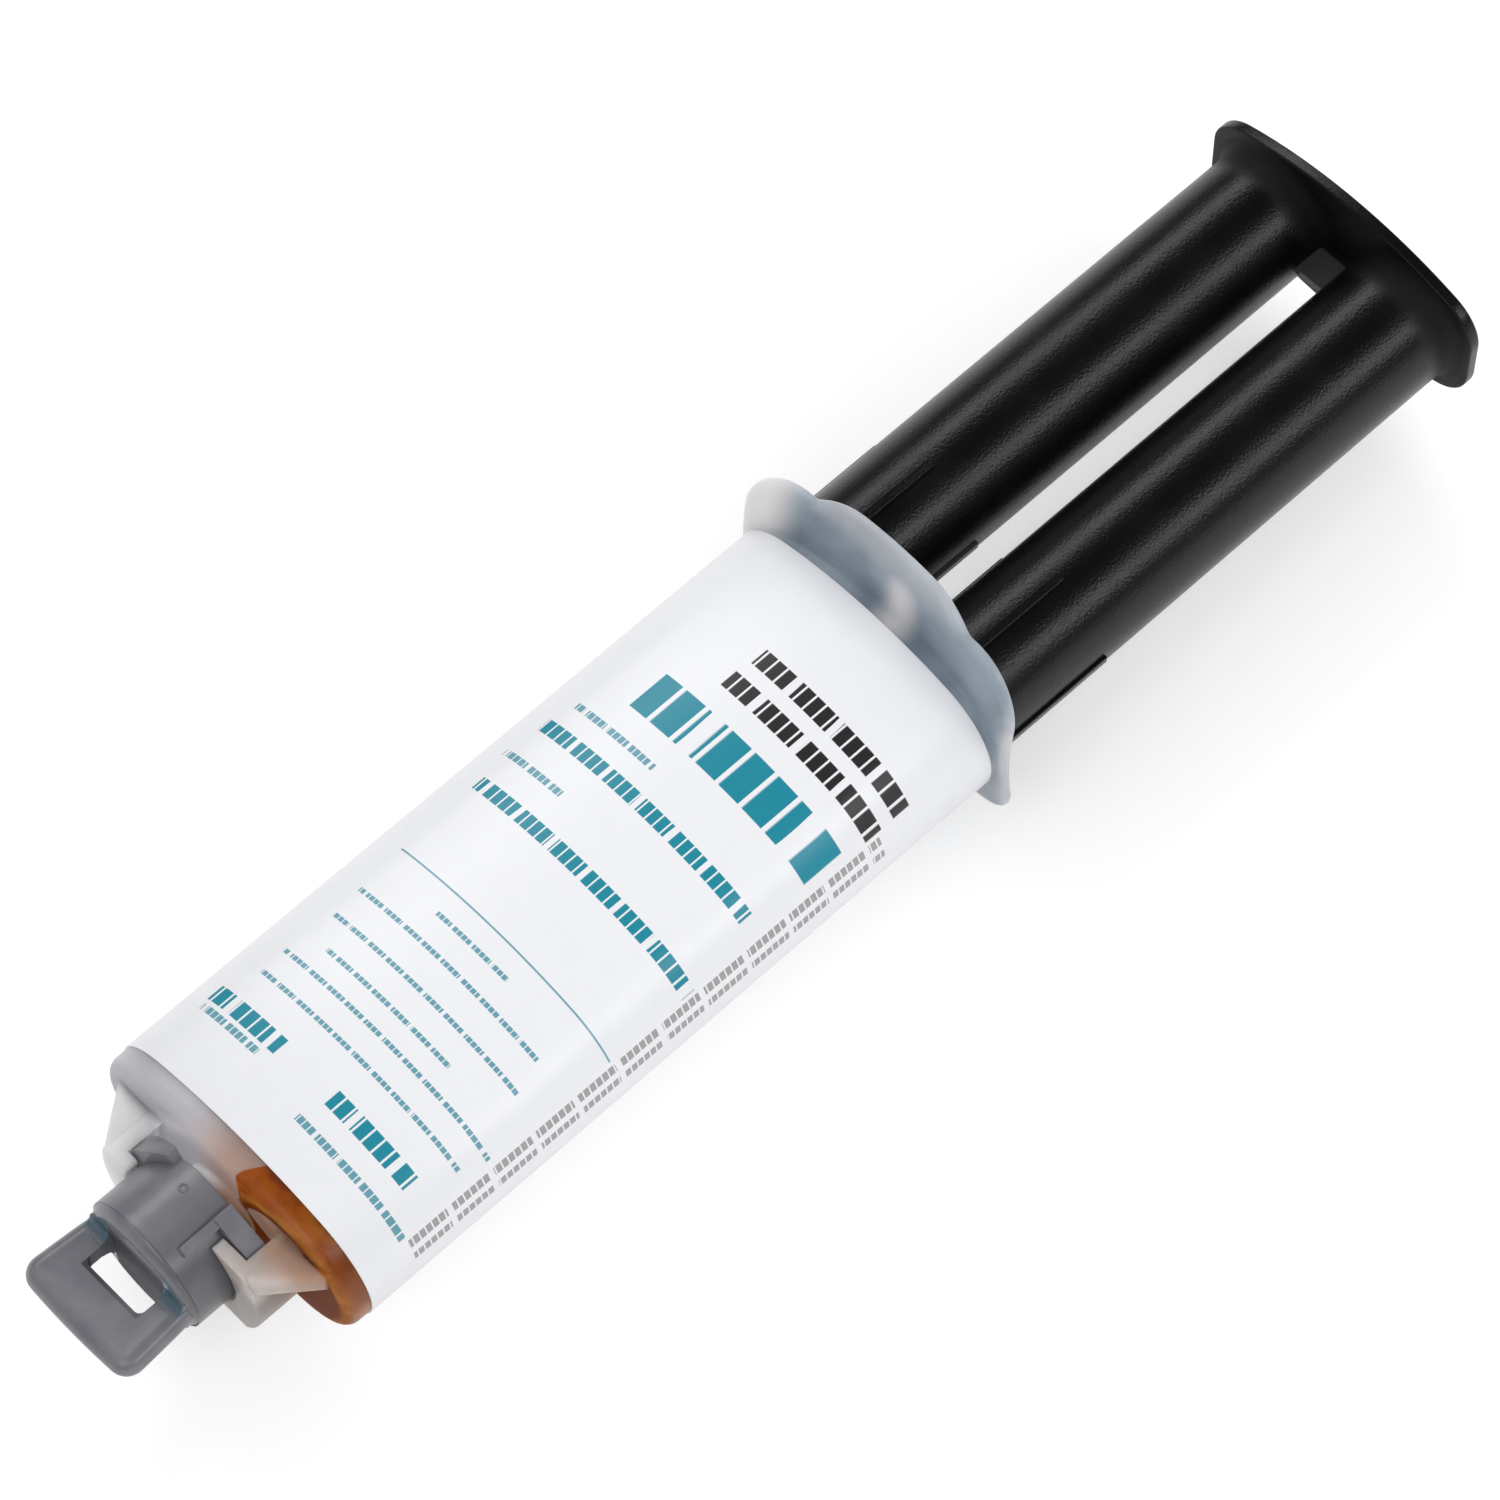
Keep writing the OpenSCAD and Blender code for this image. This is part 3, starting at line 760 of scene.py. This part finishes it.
def plunger_rod(name, side):
    """A rod with its flared foot."""
    flare = arc(ROD_FOOT, ROD_R + ROD_FOOT, ROD_FOOT, 180, 270, 10)
    profile = [(PLATE_X - SINK, ROD_R + ROD_FOOT)] + [(PLATE_X + x, r) for x, r in flare]
    profile += [(ROD_FRONT - ROD_EDGE, ROD_R), (ROD_FRONT, ROD_R - ROD_EDGE), (ROD_FRONT, 0)]
    bm = bmesh.new()
    turned(bm, profile)
    bmesh.ops.translate(bm, verts=bm.verts, vec=(0, side * AXIS_Y, 0))
    return place(bm, f"plunger_rod_{name}", BLACK, "plunger")


def guide_ribs(name, side):
    """The four ribs that guide the front half of a rod in its chamber."""
    made = []
    for i in range(4):
        bm = bmesh.new()
        prism(bm, rectangle(-RIB_W, RIB_W, RIB_ROOT, RIB_TOP), ROD_FRONT - RIB_L, ROD_FRONT)
        turn = Matrix.Rotation(math.radians(RIB_PHASE + 90 * i), 4, "X")
        bmesh.ops.transform(bm, matrix=turn, verts=bm.verts)
        bmesh.ops.translate(bm, verts=bm.verts, vec=(0, side * AXIS_Y, 0))
        made.append(bevelled(place(bm, f"guide_rib_{name}_{i + 1}", BLACK, "plunger"), 0.15))
    return made


def thumb_plate():
    quarter = [math.radians(90 * i / 4) for i in range(5)]
    rim = [(PLATE_RIM * (1 - math.sin(a)), PLATE_RIM * (1 - math.cos(a))) for a in quarter]
    rear = PLATE_X - PLATE_T
    stations = [(PLATE_X, 0, share) for share in (0.3, 0.7, 0.93)]
    stations += [(PLATE_X - x, inset) for x, inset in reversed(rim)]
    stations += [(rear + x, inset) for x, inset in rim]
    stations += [(rear, 0, share) for share in (0.93, 0.7, 0.3)]
    bm = bmesh.new()
    close_ends(bm, loft(bm, plate_distance, stations))
    return place(bm, "thumb_plate", BLACK, "plunger", 40)


def rod_web():
    """The short web that joins the rods in front of the thumb plate."""
    bm = bmesh.new()
    prism(bm, rectangle(PLATE_X - 0.3, PLATE_X + WEB_L, -WEB_W, WEB_W), -WEB_T, WEB_T, "Z")
    return bevelled(place(bm, "rod_web", BLACK, "plunger"), 0.25)


def make_plunger():
    made = []
    for name, side in SIDES.items():
        made += [plunger_rod(name, side), *guide_ribs(name, side)]
    made += [thumb_plate(), rod_web()]
    for piece in made:
        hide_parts("plunger")


# Cap


def cap_body():
    """The round part: a cup with a groove and a rounded edge, whose front leans back."""
    bore, floor = CAP_R - CAP_WALL, 9.4
    rear = [(floor, 0), (floor, bore), (CAP_GAP + 0.1, bore), (CAP_GAP, bore + 0.15),
            (CAP_GAP, CAP_R - 0.2), (CAP_GAP + 0.12, CAP_R - 0.04), (CAP_GAP + 0.3, CAP_R)]
    groove = [(0, 0), (0.05, 0.08), (0.13, 0.08), (0.18, 0)]
    edge = [(0.28, 0.03), (0.5, 0.18), (0.8, 0.42), (1.05, 0.68), (1.2, 0.92), (1.3, 1.2)]
    front = [(GROOVE_X + x, CAP_R - drop) for x, drop in groove + edge]
    bm = bmesh.new()
    turned(bm, rear + front + [(CAP_FRONT, 0)])
    for vert in bm.verts:
        if vert.co.x > GROOVE_X + 0.2:
            vert.co.x -= LEAN * (LEAN_TOP - vert.co.z)
    return place(bm, "cap_body", GREY, "cap")


def make_cap():
    body = cap_body()
    handle = combined(handle_plate(), handle_fillets())
    combined(body, [combined(handle, [finger_slot()], "DIFFERENCE")])
    parts = [body, wide_lug(), prop_rib(), narrow_lug(), gate_mark()]
    for piece in parts:
        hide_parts("cap")


def wide_lug():
    """The wide lug, with its flat top sloping outwards."""
    bm = bmesh.new()
    low = math.degrees(math.asin(-LUG_LOW / WIDE_LUG_R))
    outline = [(LUG_ROOT, -LUG_LOW)] + arc(0, 0, WIDE_LUG_R, low, WIDE_LUG_END)
    outline += [(4.3, 8.51), (2.9, 5.8)]
    prism(bm, outline, CAP_GAP, CAP_GAP + LUG_T)
    round_edges(bm, LUG_EDGE, segments=3)
    return place(bm, "cap_lug_wide", GREY, "cap")


def prop_rib():
    """The thin rib that runs down from the wide lug along the cap."""
    rear, front, low = CAP_GAP + 0.3, 9.25, 7.6
    bm = bmesh.new()
    prism(bm, [(rear, 9.49), (4.6, 9.25), (9.0, 8.9), (front, 8.6), (front, low), (rear, low)],
          0.8, 2.0, "Y")
    round_edges(bm, 0.12, segments=3)
    slope = Matrix.Rotation(math.radians(-WIDE_LUG_SLOPE), 3, "X")
    bmesh.ops.rotate(bm, verts=bm.verts, matrix=slope)
    return place(bm, "cap_prop_rib", GREY, "cap")


def narrow_lug():
    """The narrow lug, whose front edge slants at its upper end."""
    bm = bmesh.new()
    low = 180 + math.degrees(math.asin(LUG_LOW / NARROW_LUG_R))
    outline = [(-3.4, 7.0)] + arc(0, 0, NARROW_LUG_R, NARROW_LUG_END, low, 24)
    outline += [(-LUG_ROOT, -LUG_LOW), (-LUG_ROOT, 0)]
    prism(bm, outline, CAP_GAP, CAP_GAP + LUG_T)
    bmesh.ops.recalc_face_normals(bm, faces=bm.faces)
    slant_at, slant = (3.5, -4.43, 0), (1, 0.36, 0)
    kept = bmesh.ops.bisect_plane(bm, geom=bm.verts[:] + bm.edges[:] + bm.faces[:],
                                  plane_co=slant_at, plane_no=slant, clear_outer=True)
    rim = [g for g in kept["geom_cut"] if isinstance(g, bmesh.types.BMEdge)]
    bmesh.ops.contextual_create(bm, geom=rim)
    round_edges(bm, LUG_EDGE, segments=3)
    return place(bm, "cap_lug_narrow", GREY, "cap")


def gate_mark():
    """The little ring that the moulding gate leaves on top of the cap."""
    bm = bmesh.new()
    ring = bmesh.ops.create_circle(bm, segments=8, radius=GATE_WIRE)["verts"]
    bmesh.ops.rotate(bm, verts=ring, matrix=Matrix.Rotation(math.radians(90), 3, "X"))
    bmesh.ops.translate(bm, verts=ring, vec=(GATE_R, 0, 0))
    bmesh.ops.spin(bm, geom=ring + list(bm.edges), cent=(0, 0, 0), axis=(0, 0, 1),
                   angle=2 * math.pi, steps=24, use_merge=True)
    bmesh.ops.remove_doubles(bm, verts=bm.verts, dist=1e-4)
    bmesh.ops.translate(bm, verts=bm.verts, vec=(GATE_X, GATE_Y, CAP_R))
    return place(bm, "cap_gate_mark", GREY, "cap")


def handle_plate():
    """The flat handle: fully rounded edges round a shallow dish on both faces."""
    turn = [math.radians(90 * i / 7) for i in range(8)]
    edge = [(HANDLE_HALF_T * math.sin(a), HANDLE_FACE * (1 - math.cos(a))) for a in turn]
    dish = [(1.49, 1.65), (1.45, 1.95), (1.38, 2.4), (1.3, 3.0), (1.24, 3.8), (1.22, 4.6)]
    upper = edge + dish
    stations = [(-z, inset) for z, inset in reversed(upper[1:])] + upper
    bm = bmesh.new()
    close_ends(bm, loft(bm, handle_distance, stations, 160, HANDLE_X))
    return place(bm, "cap_handle", GREY, "cap")


def handle_fillets():
    """Concave fillets between the arms of the handle and the front of the cap."""
    rear, front, top = CAP_FRONT - SINK, CAP_FRONT + FILLET_R, HANDLE_FACE + FILLET_R
    curve = arc(front, top, FILLET_R, 270, 180, 6)
    corner = [(rear, 1.0), (front, 1.0)] + curve + [(rear, top)]
    made = []
    for side in (-1, 1):
        for face in (-1, 1):
            outline = [(a, face * b) for a, b in corner]
            bm = bmesh.new()
            prism(bm, outline, *sorted((side * SLOT_W / 2, side * (SLOT_W / 2 + 3))), "Y")
            made.append(place(bm, "handle_fillet", GREY, "cap"))
    return made


def finger_slot():
    """The slot behind the handle's tip."""
    back, tip, half = CAP_FRONT - 0.6, CAP_FRONT + SLOT_L, SLOT_W / 2
    outline = [(back, -half)] + arc(tip - SLOT_R, -half + SLOT_R, SLOT_R, 270, 360, 6)
    outline += arc(tip - SLOT_R, half - SLOT_R, SLOT_R, 0, 90, 6) + [(back, half)]
    bm = bmesh.new()
    prism(bm, outline, -9, 9.2, "Z")
    return place(bm, "slot_cut", GREY, "cap")


def make_charges():
    """The two filled lengths, which the plunger presses out."""
    for side_name, side in SIDES.items():
        node, name = f"{side_name}_charge", f"{side_name}_fill"
        low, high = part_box(node)
        rear, lead = ((x - nose_x) / MM for x in (low.x, high.x))
        r = (high.z - low.z) / MM / 2
        bm = bmesh.new()
        turned(bm, [(rear, 0), (rear, r - 0.3), (rear + 0.3, r), (lead - 0.5, r), (lead, r - 0.5),
                    (lead, 0)])
        bmesh.ops.translate(bm, verts=bm.verts, vec=(0, side * AXIS_Y, 0))
        piece = place(bm, name, CHARGE_FINISHES[node], "cartridge")
        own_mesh(piece)
        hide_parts(node)


def finish_hidden_nodes():
    """Gives the pistons, the seals and the plug, whose shapes stay, their finishes."""
    natural = plain_finish("natural_plastic", (205, 205, 200), (214, 214, 209), 0.45)
    rubber = plain_finish("seal_rubber", (30, 30, 31), (38, 38, 39), 0.6)
    finishes = {"cap_plug": natural, "resin_piston": natural, "hardener_piston": natural,
                "resin_seal": rubber, "hardener_seal": rubber}
    for node, material in finishes.items():
        nodes[node].data.materials.clear()
        nodes[node].data.materials.append(material)


# Studio


def make_studio():
    s = Shader("studio_floor")
    path = s.node("ShaderNodeLightPath")
    seen = (path.output("Is Camera Ray").larger(path.output("Is Glossy Ray"))
            .larger(path.output("Is Transmission Ray")))
    diffuse = s.node("ShaderNodeBsdfDiffuse", {}, {"Color": (0.8, 0.8, 0.8, 1)})
    glow = s.node("ShaderNodeEmission", {}, {"Color": (1, 1, 1, 1), "Strength": seen * FLOOR_GLOW})
    both = s.node("ShaderNodeAddShader", {}, {0: diffuse, 1: glow})
    s.node("ShaderNodeOutputMaterial", {}, {"Surface": both})
    bm = bmesh.new()
    bmesh.ops.create_grid(bm, x_segments=2, y_segments=2, size=4.0)
    mesh = bpy.data.meshes.new("studio_floor")
    bm.to_mesh(mesh)
    bm.free()
    floor = bpy.data.objects.new("studio_floor", mesh)
    bpy.context.scene.collection.objects.link(floor)
    floor.location.z = -0.0002
    floor.data.materials.append(s.material)

    world = bpy.data.worlds.new("studio")
    bpy.context.scene.world = world
    w = Shader("studio", world)
    path = w.node("ShaderNodeLightPath")
    camera = path.output("Is Camera Ray").larger(path.output("Is Transmission Ray"))
    # reflections meet the white backdrop low down and a dim ceiling higher up
    ray = w.node("ShaderNodeSeparateXYZ", {}, {0: w.node("ShaderNodeTexCoord")})
    backdrop = 1 - ray.output("Z").above(0.0, 0.2)
    glossy = path.output("Is Glossy Ray") * (CEILING + (1 - CEILING) * backdrop)
    lighting = (1 - path.output("Is Glossy Ray")) * WORLD_LEVEL
    level = camera.larger(glossy + lighting)
    sky = w.node("ShaderNodeBackground", {}, {"Color": (1, 1, 1, 1), "Strength": level})
    w.node("ShaderNodeOutputWorld", {}, {"Surface": sky})


def area_light(name, spot, size, power):
    """A soft lamp aimed at the middle of the syringe, with its first side along X."""
    data = bpy.data.lights.new(name, "AREA")
    data.shape = "RECTANGLE"
    data.size, data.size_y = size
    data.energy = power
    lamp = bpy.data.objects.new(name, data)
    bpy.context.scene.collection.objects.link(lamp)
    away = Vector(spot).normalized()
    side = (Vector((1, 0, 0)) - away * away.x).normalized()
    turn = Matrix((side, away.cross(side), away)).transposed()
    spot = Vector(spot) + Vector((0, 0, axis_z))
    lamp.matrix_world = Matrix.LocRotScale(spot, turn.to_quaternion(), None)


def make_camera():
    """The photograph's camera: tilted back from straight down, rolled a little and turned."""
    data = bpy.data.cameras.new("photo_camera")
    data.sensor_width = 36.0
    data.lens = 150.736
    data.clip_start, data.clip_end = 0.01, 20.0
    camera = bpy.data.objects.new("photo_camera", data)
    bpy.context.scene.collection.objects.link(camera)
    tilt, roll, turn = (math.radians(angle) for angle in (28.1613, 0.5878, 136.4141))
    # measured from the middle of the label's front edge, in millimetres
    spot = Vector((145.62, 239.203, 606.922))
    camera.matrix_world = Matrix.LocRotScale(
        Vector((label_box[1].x, 0, axis_z)) + spot * MM, Euler((tilt, roll, turn)), None)
    bpy.context.scene.camera = camera


make_barrel()
make_label()
make_plunger()
make_cap()
finish_hidden_nodes()
make_charges()

make_studio()
area_light("softbox_left", (-0.34, -0.63, 0.71), (0.8, 0.25), 2.8)
area_light("softbox_right", (-0.34, 0.71, 0.63), (0.8, 0.25), 2.8)
area_light("softbox_front", (0.62, 0.2, 0.75), (0.5, 0.5), 1.5)
make_camera()
scene = bpy.context.scene
scene.view_settings.view_transform = "Standard"
